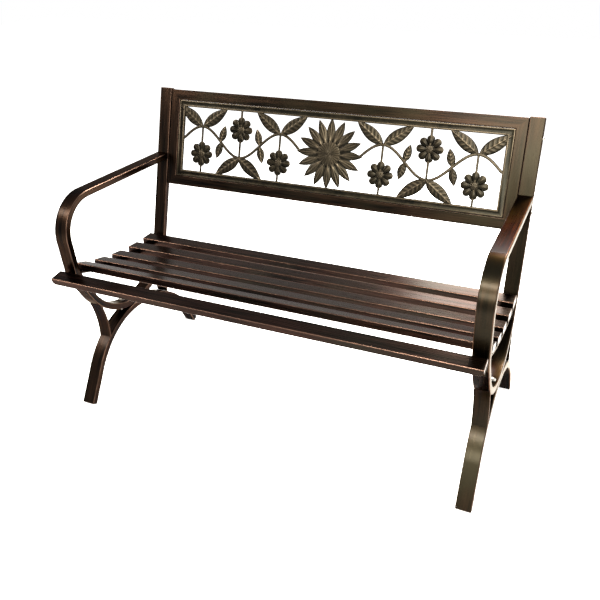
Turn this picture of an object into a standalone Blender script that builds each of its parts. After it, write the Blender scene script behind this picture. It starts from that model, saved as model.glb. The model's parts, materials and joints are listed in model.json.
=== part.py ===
"""Metal garden bench: two side frames of bent flat tube, a slatted seat and a cast back panel.

Units are metres and +Z is up. X runs along the seat, -Y is the front. The origin lies on the
floor under the middle of the bench.
"""
import math

import bmesh
import bpy
from mathutils import Vector

PARTS = "metal_garden_bench"
CUTTERS = "bench_cutters"
MOTIFS = "panel_motifs"

# Clearances
FIT = 0.0003              # between faces that touch
HOLE_PLAY = 0.0005        # round a bolt, on the radius

# Side frame tube
TUBE_WIDTH = 0.042        # along X
TUBE_THICK = 0.020        # across the plane of bending
TUBE_CORNER = 0.0025      # rounded edges
ARC_STEP = math.radians(6.0)

# Seat length and the side frames' place
SEAT_LENGTH = 1.220
SIDE_STANDOUT = 0.002     # side frame's outer face beyond the slats' ends
SIDE_X = SEAT_LENGTH / 2 + SIDE_STANDOUT - TUBE_WIDTH / 2

# Arm loop, as seen from the side
ARM_HEIGHT = 0.679        # top of the armrest
FRONT_BEND_Y = 0.160      # centre of the armrest's front bend
FRONT_BEND_R = 0.103
ARM_LEAN = math.radians(7.5)
KNEE_R = 0.100
SHIN_SLOPE = math.radians(58.0)
SHIN_LENGTH = 0.0706
LOWER_BEND_R = 0.2223
LOOP_FLAT = 0.019
TAIL_R = 0.180
TAIL_TURN = math.radians(46.0)

# Leg arch
LEG_HEIGHT = 0.240        # top of the arch
ARCH_FRONT_R = 0.2445
ARCH_REAR_R = 0.345
LEG_SPLAY = math.radians(30.0)
FOOT_FLAT = 0.0015        # height taken off the foot's lowest corner
ARCH_BEHIND_LOOP = 0.0142  # arch's top behind the loop's lowest point

# Back post
POST_RAKE = math.radians(14.78)
POST_BEHIND_ARCH = 0.0698  # post's front line at the floor, behind the arch's top
POST_RISE = 0.0034        # post's top above the back frame
POST_TAIL = 0.008         # post's foot below the loop's tail

# Braces of flat bar: loop to front leg, and post's foot to rear leg
BRACE_THICK = 0.005
BRACE_LOOP_ANGLE = math.radians(45.0)
BRACE_LEG_ANGLE = math.radians(37.5)
BRACE_BOW = 0.007
REAR_BRACE_ANGLE = math.radians(28.0)
REAR_BRACE_BOW = 0.002

# Seat
SEAT_DIP_R = 1.000        # the seat's hollow, on top of the straps
SEAT_LOW_Z = 0.3956
SEAT_BACK_GAP = 0.0864    # lowest point in front of the post
STRAP_WIDTH = 0.038
STRAP_THICK = 0.005
TAB_DROP = 0.019          # bolt below the strap
TAB_END = 0.010           # tab past its bolt
TAB_BEND = 0.004          # strap's bend into its tab
SLAT_WIDTH = 0.047
SLAT_THICK = 0.020
SLAT_1_AT = -0.2918       # slats along the hollow, from its lowest point
SLAT_2_AT = -0.2045
SLAT_3_AT = -0.1202
SLAT_4_AT = -0.0327
SLAT_5_AT = 0.0491
FRONT_SLAT_WIDTH = 0.043
FRONT_SLAT_TILT = math.radians(9.9)
FRONT_SLAT_Z = 0.4524     # middle of the front slat
FRONT_SLAT_GAP = 0.015    # to the arm loop
FRONT_SLAT_CUT = 0.009    # lower end corners
SLAT_CORNER = 0.0018
BRACKET_THICK = 0.003
BRACKET_REACH = 0.030     # under the front slat

# Back frame, measured up the post's front face
BACK_TOP = 0.910
BACK_HEIGHT = 0.310
RAIL_WIDTH = 0.032
RAIL_THICK = 0.016
RAIL_SETBACK = 0.004
PANEL_BORDER = 0.020
PANEL_THICK = 0.007
PANEL_SETBACK = 0.003     # behind the frame's front face

# Bolts
FRAME_BOLT_R = 0.003
FRAME_HEAD_R = 0.0045
FRAME_HEAD_H = 0.0042
FRAME_BOLT_GRIP = 0.022   # length inside the stile
FRAME_BOLT_DROP = 0.053   # upper bolt below the frame's top
FRAME_BOLT_RISE = 0.055   # lower bolt above the frame's bottom
SEAT_BOLT_R = 0.003
SEAT_HEAD_R = 0.0065
SEAT_HEAD_H = 0.0035
LEG_BOLT_R = 0.004
LEG_HEAD_R = 0.008
LEG_HEAD_H = 0.005
LEG_BOLT_AHEAD = 0.039    # in front of the loop's lowest point
LEG_BOLT_OUT = 0.004      # outside the tube's middle
LEG_BOLT_GRIP = 0.012     # length inside the arch
WASHER_R = 0.012
WASHER_THICK = 0.002
NUT_R = 0.0065            # over its corners
NUT_H = 0.005
TIP = 0.0015              # bolt past its nut

# Cast panel's design
STEM_WIDTH = 0.009
STEM_WAVE = 0.044
HEART_R = 0.041           # middle of the central flower
PETAL_START = 0.030
PETAL_REACH = 0.1065      # tips of the central flower's petals
PETAL_WIDE = 0.0270
PETALS = 16
BLOSSOM_R = 0.040
BLOSSOM_PETALS = 8
BLOSSOM_CLEAR = 0.018     # from a blossom to the border
LOBES = 3                 # waves of the stem on each side
LEAF_WIDE = 0.038
LEAF_LEAN = math.radians(54.0)
LEAF_SPREAD = 0.0015      # each leaf of a pair from the point they share
DROP_LONG = 0.052         # leaves where the stem crosses the middle
DROP_WIDE = 0.025
DROP_LEAN = math.radians(14.0)
JOIN = 0.003              # motifs sunk into the border


def direction(heading):
    return Vector((math.cos(heading), math.sin(heading)))


def left_of(heading):
    return Vector((-math.sin(heading), math.cos(heading)))


def trace(start, heading, legs):
    """Stations (point, heading) along a bent bar's centreline.

    A leg is (length,) for a straight or (radius, turn) for an arc, with left turns positive.
    """
    point = Vector(start)
    stations = [(point.copy(), heading)]
    for leg in legs:
        if len(leg) == 1:
            point = point + leg[0] * direction(heading)
            stations.append((point.copy(), heading))
            continue
        radius, turn = leg
        side = math.copysign(1.0, turn)
        centre = point + side * radius * left_of(heading)
        steps = max(2, math.ceil(abs(turn) / ARC_STEP))
        for i in range(1, steps + 1):
            angle = heading + turn * i / steps
            stations.append((centre - side * radius * left_of(angle), angle))
        heading += turn
        point = stations[-1][0].copy()
    return stations


def meet(point, heading, line):
    """Where the line through a point along a heading crosses a line (point, heading)."""
    base, line_heading = line
    across = left_of(line_heading)
    return point + direction(heading) * ((base - point).dot(across) / direction(heading).dot(across))


def shifted(line, offset):
    """A line moved to its left."""
    return line[0] + offset * left_of(line[1]), line[1]


def band(stations, thick, start_line=None, end_line=None):
    """Outline of a bar along its stations, its ends square or cut along a line."""
    sides = []
    for sign in (1.0, -1.0):
        points = [p + sign * thick / 2 * left_of(h) for p, h in stations]
        if start_line:
            points[0] = meet(points[0], stations[0][1], start_line)
        if end_line:
            points[-1] = meet(points[-1], stations[-1][1], end_line)
        sides.append(points)
    return sides[0] + sides[1][::-1]


def ribbon(points, thick):
    """Outline of a flat bar along a bent centreline, its corners mitred."""
    headings = [math.atan2(*(b - a).yx) for a, b in zip(points, points[1:])]
    left, right = [], []
    for i, point in enumerate(points):
        before = headings[max(i - 1, 0)]
        after = headings[min(i, len(headings) - 1)]
        across = left_of(before) + left_of(after)
        across = across / across.dot(left_of(after))
        left.append(point + across * thick / 2)
        right.append(point - across * thick / 2)
    return left + right[::-1]


def above_floor(outline):
    """The outline with what lies below the floor cut off."""
    kept = []
    for a, b in zip(outline, outline[1:] + outline[:1]):
        if a.y >= 0.0:
            kept.append(a)
        if (a.y >= 0.0) != (b.y >= 0.0):
            kept.append(a.lerp(b, a.y / (a.y - b.y)))
    return kept


def station_after(stations, start, distance):
    """Point and heading at a distance along the stations, past station number start."""
    for (a, ha), (b, hb) in zip(stations[start:], stations[start + 1:]):
        step = (b - a).length
        if distance <= step:
            return a.lerp(b, distance / step), ha + (hb - ha) * distance / step
        distance -= step
    return stations[-1]


# Side view of the whole frame, worked out once from the sizes above
def arc_shift(radius, start, end):
    """Forward and upward travel of a left-hand arc between two headings."""
    return Vector((radius * (math.sin(end) - math.sin(start)), radius * (math.cos(start) - math.cos(end))))


DOWN = math.radians(270.0) + ARM_LEAN
SHIN = math.radians(360.0) - SHIN_SLOPE
LEVEL = math.radians(360.0)
FRONT_ARC = arc_shift(FRONT_BEND_R, math.pi, DOWN)
KNEE_ARC = arc_shift(KNEE_R, DOWN, SHIN)
LOWER_ARC = arc_shift(LOWER_BEND_R, SHIN, LEVEL)
ARM_LINE_Z = ARM_HEIGHT - TUBE_THICK / 2
LOOP_LINE_Z = LEG_HEIGHT + FIT + TUBE_THICK / 2
FALL = ARM_LINE_Z - LOOP_LINE_Z + FRONT_ARC.y + KNEE_ARC.y + LOWER_ARC.y
ARM_DROP = (FALL - SHIN_LENGTH * math.sin(SHIN_SLOPE)) / math.cos(ARM_LEAN)
LOOP_LOW_Y = (FRONT_BEND_Y + FRONT_ARC.x + ARM_DROP * math.sin(ARM_LEAN) + KNEE_ARC.x
              + SHIN_LENGTH * math.cos(SHIN_SLOPE) + LOWER_ARC.x)
ARCH_Y = LOOP_LOW_Y + ARCH_BEHIND_LOOP
UP_POST = math.pi / 2 - POST_RAKE
POST_FACE = (Vector((ARCH_Y + POST_BEHIND_ARCH, 0.0)), UP_POST)


def arm_loop_stations():
    end = meet(Vector((0.0, ARM_LINE_Z)), 0.0, shifted(POST_FACE, FIT))
    return trace(end, math.pi, [
        (end.x - FRONT_BEND_Y,),
        (FRONT_BEND_R, DOWN - math.pi),
        (ARM_DROP,),
        (KNEE_R, SHIN - DOWN),
        (SHIN_LENGTH,),
        (LOWER_BEND_R, SHIN_SLOPE),
        (LOOP_FLAT,),
        (TAIL_R, TAIL_TURN),
        (TUBE_THICK / 2,),
    ])


def arch_stations():
    legs = []
    foot_z = TUBE_THICK / 2 * math.sin(LEG_SPLAY) - FOOT_FLAT
    turn = math.pi / 2 - LEG_SPLAY
    for radius in (ARCH_FRONT_R, ARCH_REAR_R):
        rise = radius * (1.0 - math.cos(turn))
        legs.append((LEG_HEIGHT - TUBE_THICK / 2 - rise - foot_z) / math.cos(LEG_SPLAY))
    front_leg, rear_leg = legs
    reach = ARCH_FRONT_R * math.sin(turn) + front_leg * math.cos(turn)
    return trace(Vector((ARCH_Y - reach, foot_z)), turn, [
        (front_leg,), (ARCH_FRONT_R, -turn), (ARCH_REAR_R, -turn), (rear_leg,)])


def brace_between(top, top_normal, foot, foot_normal, bow):
    """Outline of a flat bar on an arc between two surfaces, a positive bow to its left."""
    chord = foot - top
    turn = math.copysign(4.0 * math.atan(2.0 * abs(bow) / chord.length), -bow)
    radius = chord.length / 2 / math.sin(abs(turn) / 2)
    bar = trace(top, math.atan2(chord.y, chord.x) - turn / 2, [(radius, turn)])
    return band(bar, BRACE_THICK, (top + FIT * direction(top_normal), top_normal + math.pi / 2),
                (foot + FIT * direction(foot_normal), foot_normal + math.pi / 2))


def line_on(outline_points, point, heading):
    """The facet of a surface that a ray meets, as a line, with the point where it does."""
    for a, b in zip(outline_points, outline_points[1:]):
        facet = (a, math.atan2(*(b - a).yx))
        if abs(direction(heading).dot(left_of(facet[1]))) < 1e-6:
            continue
        hit = meet(point, heading, facet)
        along = (hit - a).dot(direction(facet[1]))
        if 0.0 <= along <= (b - a).length and (hit - point).dot(direction(heading)) > 0.0:
            return hit, facet
    raise ValueError("no facet there")


# Scene and object helpers
def collection(name):
    made = bpy.data.collections.new(name)
    bpy.context.scene.collection.children.link(made)
    return made


def material(name, colour, roughness, metallic):
    made = bpy.data.materials.new(name)
    made.use_nodes = True
    shader = made.node_tree.nodes["Principled BSDF"]
    shader.inputs["Base Color"].default_value = (*colour, 1.0)
    shader.inputs["Roughness"].default_value = roughness
    shader.inputs["Metallic"].default_value = metallic
    made.diffuse_color = (*colour, 1.0)
    return made


def add_object(name, data, group, parent, coat=None):
    made = bpy.data.objects.new(name, data)
    group.objects.link(made)
    made.parent = parent
    if coat:
        data.materials.append(coat)
    return made


def plate(name, outlines, thick, group, parent, coat=None):
    """A flat outline with any holes, extruded to its thickness and made a closed mesh."""
    curve = bpy.data.curves.new(name, "CURVE")
    curve.dimensions = "2D"
    curve.fill_mode = "BOTH"
    curve.extrude = thick / 2
    for outline in outlines:
        spline = curve.splines.new("POLY")
        spline.points.add(len(outline) - 1)
        for target, point in zip(spline.points, outline):
            target.co = (point[0], point[1], 0.0, 1.0)
        spline.use_cyclic_u = True
    drawn = add_object(name + "_outline", curve, group, parent)
    bpy.context.view_layer.update()
    graph = bpy.context.evaluated_depsgraph_get()
    mesh = bpy.data.meshes.new_from_object(drawn.evaluated_get(graph))
    mesh.name = name
    welded = bmesh.new()
    welded.from_mesh(mesh)
    bmesh.ops.remove_doubles(welded, verts=welded.verts, dist=1e-6)
    bmesh.ops.recalc_face_normals(welded, faces=welded.faces)
    welded.to_mesh(mesh)
    welded.free()
    made = add_object(name, mesh, group, parent, coat)
    made.matrix_local = drawn.matrix_local
    bpy.data.objects.remove(drawn)
    bpy.data.curves.remove(curve)
    return made


def block(name, size, group, parent, coat):
    """A box from the cube primitive, its scale applied."""
    mesh = bpy.data.meshes.new(name)
    cube = bmesh.new()
    bmesh.ops.create_cube(cube, size=1.0)
    bmesh.ops.scale(cube, vec=size, verts=cube.verts)
    cube.to_mesh(mesh)
    cube.free()
    return add_object(name, mesh, group, parent, coat)


def turned(name, profile, steps, group, parent, coat=None):
    """A profile of (radius, height) points, top to bottom, turned about Z."""
    mesh = bpy.data.meshes.new(name)
    mesh.from_pydata([(r, 0.0, z) for r, z in profile], [(i, i + 1) for i in range(len(profile) - 1)], [])
    made = add_object(name, mesh, group, parent, coat)
    screw = made.modifiers.new("Turn", "SCREW")
    screw.axis = "Z"
    screw.steps = steps
    screw.render_steps = steps
    screw.use_merge_vertices = True
    screw.merge_threshold = 0.00005
    return made


def soften(item, width, segments=2):
    edge = item.modifiers.new("Edges", "BEVEL")
    edge.width = width
    edge.segments = segments
    edge.limit_method = "ANGLE"
    edge.angle_limit = math.radians(40.0)


def drill(item, cutter):
    hole = item.modifiers.new("Hole", "BOOLEAN")
    hole.operation = "DIFFERENCE"
    hole.solver = "EXACT"
    hole.object = cutter


def aim(item, place, axis):
    """Puts an object at a place, its own Z along an axis."""
    item.rotation_mode = "QUATERNION"
    item.rotation_quaternion = Vector(axis).to_track_quat("Z", "Y")
    item.location = place


def bolt_profile(head_r, head_h, shank_r, length):
    return [(0.0, head_h), (head_r * 0.62, head_h * 0.88), (head_r, head_h * 0.42), (head_r, 0.0),
            (shank_r, 0.0), (shank_r, -length), (0.0, -length)]


def nut_profile(shank_r):
    """Hexagon turned in six steps; its bore clears the shank at the flats."""
    bore = (shank_r + HOLE_PLAY) / math.cos(math.pi / 6)
    return [(bore, NUT_H), (NUT_R, NUT_H), (NUT_R, 0.0), (bore, 0.0), (bore, NUT_H)]


def washer_profile(shank_r):
    bore = shank_r + HOLE_PLAY
    return [(bore, WASHER_THICK), (WASHER_R, WASHER_THICK), (WASHER_R, 0.0), (bore, 0.0),
            (bore, WASHER_THICK)]


def hole_cutter(name, radius, length, place, axis, group, parent):
    """A rod centred on a place."""
    mesh = bpy.data.meshes.new(name)
    rod = bmesh.new()
    bmesh.ops.create_cone(rod, cap_ends=True, segments=20, radius1=radius, radius2=radius, depth=length)
    rod.to_mesh(mesh)
    rod.free()
    made = add_object(name, mesh, group, parent)
    made.hide_render = True
    made.display_type = "WIRE"
    aim(made, place, axis)
    return made


# Panel motifs, as flat outlines about their own middle
def flower(radius, petals, notch):
    """Closed outline of a flower head with rounded petals."""
    points = []
    per_petal = 6
    for i in range(petals * per_petal):
        angle = 2 * math.pi * i / (petals * per_petal)
        swell = abs(math.cos(angle * petals / 2)) ** 0.55
        points.append(radius * (1.0 - notch + notch * swell) * direction(angle))
    return points


def leaf(length, width, base, heading, steps=10):
    """Closed outline of a leaf that starts at its base and points along a heading."""
    along, across = direction(heading), left_of(heading)
    side = [(i / steps, width / 2 * math.sin(math.pi * (i / steps) ** 0.85) ** 0.8) for i in range(1, steps)]
    points = [base.copy()]
    points += [base + along * t * length + across * w for t, w in side]
    points.append(base + along * length)
    points += [base + along * t * length - across * w for t, w in reversed(side)]
    return points


def half_panel(half_long, half_high):
    """Motifs of the panel's right half as (outline, thickness)."""
    pieces = []
    start = PETAL_REACH - STEM_WIDTH
    pitch = (half_long - start) / LOBES

    def stem_point(t):
        return Vector((start + pitch * t, STEM_WAVE * math.sin(math.pi * t)))

    steps = 8 * LOBES
    line = [stem_point(LOBES * i / steps) for i in range(steps + 1)]
    line[-1].x = half_long + JOIN
    pieces.append((ribbon(line, STEM_WIDTH), PANEL_THICK * 0.74))
    for lobe in range(LOBES):
        up = 1.0 if lobe % 2 == 0 else -1.0
        crest = stem_point(lobe + 0.5)
        heart = Vector((crest.x, -up * (half_high - BLOSSOM_R - BLOSSOM_CLEAR)))
        pieces.append(([heart + p for p in flower(BLOSSOM_R, BLOSSOM_PETALS, 0.26)], PANEL_THICK * 0.92))
        edge = Vector((heart.x, -up * (half_high + JOIN)))
        pieces.append((ribbon([crest, edge], STEM_WIDTH * 0.8), PANEL_THICK * 0.66))
        reach = (half_high + JOIN - STEM_WAVE) / math.cos(LEAF_LEAN)
        for lean in (-1.0, 1.0):
            base = crest + Vector((-lean * up * LEAF_SPREAD, 0.0))
            heading = up * (math.pi / 2 + lean * LEAF_LEAN)
            pieces.append((leaf(reach, LEAF_WIDE, base, heading), PANEL_THICK * 0.80))
    for cross in range(1, LOBES):
        up = 1.0 if cross % 2 else -1.0
        middle = stem_point(cross)
        for way in (1.0, -1.0):
            heading = way * math.pi / 2 - up * DROP_LEAN
            base = middle + Vector((0.0, way * LEAF_SPREAD))
            pieces.append((leaf(DROP_LONG, DROP_WIDE, base, heading), PANEL_THICK * 0.84))
    return pieces


def panel_motifs(half_long, half_high):
    """Every motif as (outline, thickness): the central flower, and one half with its mirror image."""
    heart_steps = 40
    pieces = [([HEART_R * direction(2 * math.pi * i / heart_steps) for i in range(heart_steps)],
               PANEL_THICK * 0.94)]
    for i in range(PETALS):
        heading = 2 * math.pi * i / PETALS
        pieces.append((leaf(PETAL_REACH - PETAL_START, PETAL_WIDE, PETAL_START * direction(heading), heading),
                       PANEL_THICK * 0.86))
    for outline, thick in half_panel(half_long, half_high):
        pieces.append((outline, thick))
        pieces.append(([Vector((-p.x, p.y)) for p in reversed(outline)], thick))
    return pieces


def build():
    for item in list(bpy.data.objects):
        bpy.data.objects.remove(item)
    parts = collection(PARTS)
    cutters = collection(CUTTERS)
    motifs = collection(MOTIFS)
    bench = add_object("bench", None, parts, None)

    frame_coat = material("frame_coat", (0.045, 0.034, 0.026), 0.42, 0.75)
    slat_coat = material("slat_coat", (0.052, 0.041, 0.033), 0.38, 0.75)
    panel_coat = material("panel_coat", (0.038, 0.036, 0.031), 0.46, 0.70)
    bolt_steel = material("bolt_steel", (0.36, 0.35, 0.33), 0.32, 1.0)

    loop_stations = arm_loop_stations()
    arch = arch_stations()
    arch_outline = above_floor(band(arch, TUBE_THICK))
    arch_top = [p + TUBE_THICK / 2 * left_of(h) for p, h in arch]
    loop_inside = [p + TUBE_THICK / 2 * left_of(h) for p, h in loop_stations]
    loop_outside = [p - TUBE_THICK / 2 * left_of(h) for p, h in loop_stations]
    front_face = shifted(POST_FACE, FIT)
    loop_outline = band(loop_stations, TUBE_THICK, front_face, front_face)

    # Back post, from the loop's tail up to just above the back frame
    post_axis = shifted(POST_FACE, -TUBE_THICK / 2)
    post_top = post_axis[0] + direction(UP_POST) * (BACK_TOP + POST_RISE)
    tail_corner = loop_outline[len(loop_stations)]
    post_low = (tail_corner - POST_FACE[0]).dot(direction(UP_POST)) - POST_TAIL
    post_foot = post_axis[0] + direction(UP_POST) * post_low
    post_outline = band([(post_foot, UP_POST), (post_top, UP_POST)], TUBE_THICK)

    # Front brace under the loop, and rear brace flush with the back of the post
    loop_centre = Vector((LOOP_LOW_Y, LOOP_LINE_Z + LOWER_BEND_R))
    arch_base = Vector((ARCH_Y, LEG_HEIGHT - TUBE_THICK / 2))
    top_normal = -math.pi / 2 - BRACE_LOOP_ANGLE
    brace_top = loop_centre + (LOWER_BEND_R + TUBE_THICK / 2) * direction(top_normal)
    foot_normal = math.pi / 2 + BRACE_LEG_ANGLE
    brace_foot = (arch_base + Vector((0.0, -ARCH_FRONT_R))
                  + (ARCH_FRONT_R + TUBE_THICK / 2) * direction(foot_normal))
    brace_outline = brace_between(brace_top, top_normal, brace_foot, foot_normal, BRACE_BOW)
    rear_top = post_foot - (TUBE_THICK - BRACE_THICK) / 2 * left_of(UP_POST)
    foot_normal = math.pi / 2 - REAR_BRACE_ANGLE
    rear_foot = (arch_base + Vector((0.0, -ARCH_REAR_R))
                 + (ARCH_REAR_R + TUBE_THICK / 2) * direction(foot_normal))
    rear_brace_outline = brace_between(rear_top, UP_POST + math.pi, rear_foot, foot_normal, -REAR_BRACE_BOW)

    # Seat strap: an arc with a bolting tab bent down at each end
    low_z = SEAT_LOW_Z
    low_y = meet(Vector((0.0, low_z)), 0.0, POST_FACE).x - SEAT_BACK_GAP
    dip_centre = Vector((low_y, low_z + SEAT_DIP_R))
    strap_r = SEAT_DIP_R + STRAP_THICK / 2
    front_arc = next(i for i, (p, h) in enumerate(loop_stations) if h >= DOWN - 1e-6)
    tab_off = TUBE_THICK / 2 + FIT + STRAP_THICK / 2
    tab_side = [p + tab_off * left_of(h) for p, h in loop_stations]
    crossing = next(i for i in range(front_arc, len(tab_side))
                    if (tab_side[i + 1] - dip_centre).length > strap_r)
    near, far = [(p - dip_centre).length for p in tab_side[crossing:crossing + 2]]
    part_way = (strap_r - near) / (far - near)
    run = part_way * (loop_stations[crossing + 1][0] - loop_stations[crossing][0]).length
    seat_bolt, seat_heading = station_after(loop_stations, crossing, run + TAB_DROP)

    def dip_angle(point):
        """Angle from straight down, about the centre of the seat's hollow."""
        return math.atan2(point.x - dip_centre.x, dip_centre.y - point.y)

    first = dip_angle(tab_side[crossing].lerp(tab_side[crossing + 1], part_way))
    base, heading = shifted(POST_FACE, FIT + STRAP_THICK / 2)
    half_b = (base - dip_centre).dot(direction(heading))
    reach = math.sqrt(half_b ** 2 - (base - dip_centre).length ** 2 + strap_r ** 2)
    last = dip_angle(base - direction(heading) * (half_b + reach))
    strap_line = []
    tab_steps = 4
    for i in range(tab_steps, -1, -1):
        below = TAB_BEND + (TAB_DROP + TAB_END - TAB_BEND) * i / tab_steps
        point, heading = station_after(loop_stations, crossing, run + below)
        strap_line.append(point + tab_off * left_of(heading))
    strap_steps = 20
    bend_angle = TAB_BEND / strap_r
    for i in range(strap_steps + 1):
        angle = first + bend_angle + (last - first - 2 * bend_angle) * i / strap_steps
        strap_line.append(dip_centre + strap_r * direction(angle - math.pi / 2))
    rear_corner = dip_centre + strap_r * direction(last - math.pi / 2)
    rear_bolt = rear_corner - TAB_DROP * direction(UP_POST)
    strap_line.append(rear_corner - TAB_BEND * direction(UP_POST))
    strap_line.append(rear_bolt - TAB_END * direction(UP_POST))
    strap_outline = ribbon(strap_line, STRAP_THICK)

    # Front slat and the bracket that carries it
    height = FRONT_SLAT_Z - SLAT_THICK / 2 * math.cos(FRONT_SLAT_TILT)
    face_y = min(meet(Vector((0.0, height)), 0.0, (a, math.atan2(*(b - a).yx))).x
                 for a, b in zip(loop_outside, loop_outside[1:]) if b.y <= height < a.y)
    reach_back = (FRONT_SLAT_WIDTH / 2 * math.cos(FRONT_SLAT_TILT)
                  + SLAT_THICK / 2 * math.sin(FRONT_SLAT_TILT))
    front_slat_at = Vector((face_y - FRONT_SLAT_GAP - reach_back, FRONT_SLAT_Z))
    under = (front_slat_at - (SLAT_THICK / 2 + FIT + BRACKET_THICK / 2) * left_of(FRONT_SLAT_TILT),
             FRONT_SLAT_TILT)
    leg = (seat_bolt - (TUBE_THICK / 2 + FIT + BRACKET_THICK / 2) * left_of(seat_heading), seat_heading)
    bend = meet(leg[0], leg[1], under)
    bracket_outline = ribbon([bend - BRACKET_REACH * direction(FRONT_SLAT_TILT)
                              - FRONT_SLAT_GAP * direction(FRONT_SLAT_TILT),
                              bend, leg[0] + TAB_END * direction(seat_heading)], BRACKET_THICK)

    side_parts = {
        "back_post": (post_outline, TUBE_WIDTH, TUBE_CORNER),
        "arm_loop": (loop_outline, TUBE_WIDTH, TUBE_CORNER),
        "leg_arch": (arch_outline, TUBE_WIDTH, TUBE_CORNER),
        "front_brace": (brace_outline, TUBE_WIDTH, BRACE_THICK / 5),
        "rear_brace": (rear_brace_outline, TUBE_WIDTH, BRACE_THICK / 5),
        "seat_strap": (strap_outline, STRAP_WIDTH, STRAP_THICK / 5),
        "slat_bracket": (bracket_outline, STRAP_WIDTH, BRACKET_THICK / 5),
    }
    leg_angle = math.asin(LEG_BOLT_AHEAD / LOWER_BEND_R)
    leg_axis = direction(math.pi / 2 - leg_angle)
    leg_bolt = loop_centre - LOWER_BEND_R * direction(math.pi / 2 - leg_angle)
    # Where the bolt's line meets the top of the arch
    arch_hit, _ = line_on(arch_top, leg_bolt, -math.pi / 2 - leg_angle)

    made = {}
    for side, sign in (("left", -1.0), ("right", 1.0)):
        plane = bpy.data.objects.new(side + "_side", None)
        parts.objects.link(plane)
        plane.parent = bench
        plane.location = (sign * SIDE_X, 0.0, 0.0)
        plane.rotation_euler = (math.pi / 2, 0.0, math.pi / 2)
        for kind, (outline, width, corner) in side_parts.items():
            item = plate(side + "_" + kind, [outline], width, parts, plane, frame_coat)
            soften(item, corner, 2 if corner == TUBE_CORNER else 1)
            made[item.name] = item

        def in_plane(point, out=0.0):
            return Vector((sign * (SIDE_X + out), point.x, point.y))

        def in_space(heading_vector):
            return Vector((0.0, heading_vector.x, heading_vector.y))

        # Seat's front bolt: bracket, loop, strap tab and nut
        front_axis = in_space(-left_of(seat_heading))
        head_at = in_plane(seat_bolt - (TUBE_THICK / 2 + 2 * FIT + BRACKET_THICK) * left_of(seat_heading))
        nut_hollow = NUT_R ** 2 / 2 / (KNEE_R - TUBE_THICK / 2 - STRAP_THICK)
        nut_at = tab_off + STRAP_THICK / 2 + FIT + nut_hollow
        length = nut_at + NUT_H + TIP + TUBE_THICK / 2 + 2 * FIT + BRACKET_THICK
        item = turned(side + "_seat_front_bolt", bolt_profile(SEAT_HEAD_R, SEAT_HEAD_H, SEAT_BOLT_R, length),
                      16, parts, bench, bolt_steel)
        aim(item, head_at, front_axis)
        item = turned(side + "_seat_front_nut", nut_profile(SEAT_BOLT_R), 6, parts, bench, bolt_steel)
        aim(item, in_plane(seat_bolt + nut_at * left_of(seat_heading)), -front_axis)
        cutter = hole_cutter(side + "_seat_front_hole", SEAT_BOLT_R + HOLE_PLAY, 0.080,
                             in_plane(seat_bolt), front_axis, cutters, bench)
        for kind in ("arm_loop", "seat_strap", "slat_bracket"):
            drill(made[side + "_" + kind], cutter)

        # Seat's rear bolt: head behind the post, nut on the strap's tab
        across_post = left_of(UP_POST)
        back_of_post = rear_bolt - (STRAP_THICK / 2 + FIT + TUBE_THICK + FIT) * across_post
        rear_nut = rear_bolt + (STRAP_THICK / 2 + FIT) * across_post
        length = (rear_nut - back_of_post).length + NUT_H + TIP
        item = turned(side + "_seat_rear_bolt", bolt_profile(SEAT_HEAD_R, SEAT_HEAD_H, SEAT_BOLT_R, length),
                      16, parts, bench, bolt_steel)
        aim(item, in_plane(back_of_post), in_space(-across_post))
        item = turned(side + "_seat_rear_nut", nut_profile(SEAT_BOLT_R), 6, parts, bench, bolt_steel)
        aim(item, in_plane(rear_nut), in_space(across_post))
        cutter = hole_cutter(side + "_seat_rear_hole", SEAT_BOLT_R + HOLE_PLAY, 0.080,
                             in_plane(rear_bolt), in_space(across_post), cutters, bench)
        for kind in ("back_post", "seat_strap"):
            drill(made[side + "_" + kind], cutter)

        # Leg bolt: head and washer inside the loop, shank down into the arch
        seat = leg_bolt + (TUBE_THICK / 2 + FIT) * leg_axis
        item = turned(side + "_leg_washer", washer_profile(LEG_BOLT_R), 24, parts, bench, bolt_steel)
        hollow = WASHER_R ** 2 / 2 / (LOWER_BEND_R - TUBE_THICK / 2)
        seat = seat + hollow * leg_axis
        aim(item, in_plane(seat, LEG_BOLT_OUT), in_space(leg_axis))
        under_head = seat + (WASHER_THICK + FIT) * leg_axis
        length = (arch_hit - under_head).length + LEG_BOLT_GRIP
        item = turned(side + "_leg_bolt", bolt_profile(LEG_HEAD_R, LEG_HEAD_H, LEG_BOLT_R, length),
                      20, parts, bench, bolt_steel)
        aim(item, in_plane(under_head, LEG_BOLT_OUT), in_space(leg_axis))
        tip = arch_hit - (LEG_BOLT_GRIP + HOLE_PLAY) * leg_axis
        top = leg_bolt + TUBE_THICK * leg_axis
        cutter = hole_cutter(side + "_leg_hole", LEG_BOLT_R + HOLE_PLAY, (top - tip).length,
                             in_plane((top + tip) / 2, LEG_BOLT_OUT), in_space(leg_axis), cutters, bench)
        for kind in ("arm_loop", "leg_arch"):
            drill(made[side + "_" + kind], cutter)

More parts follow.
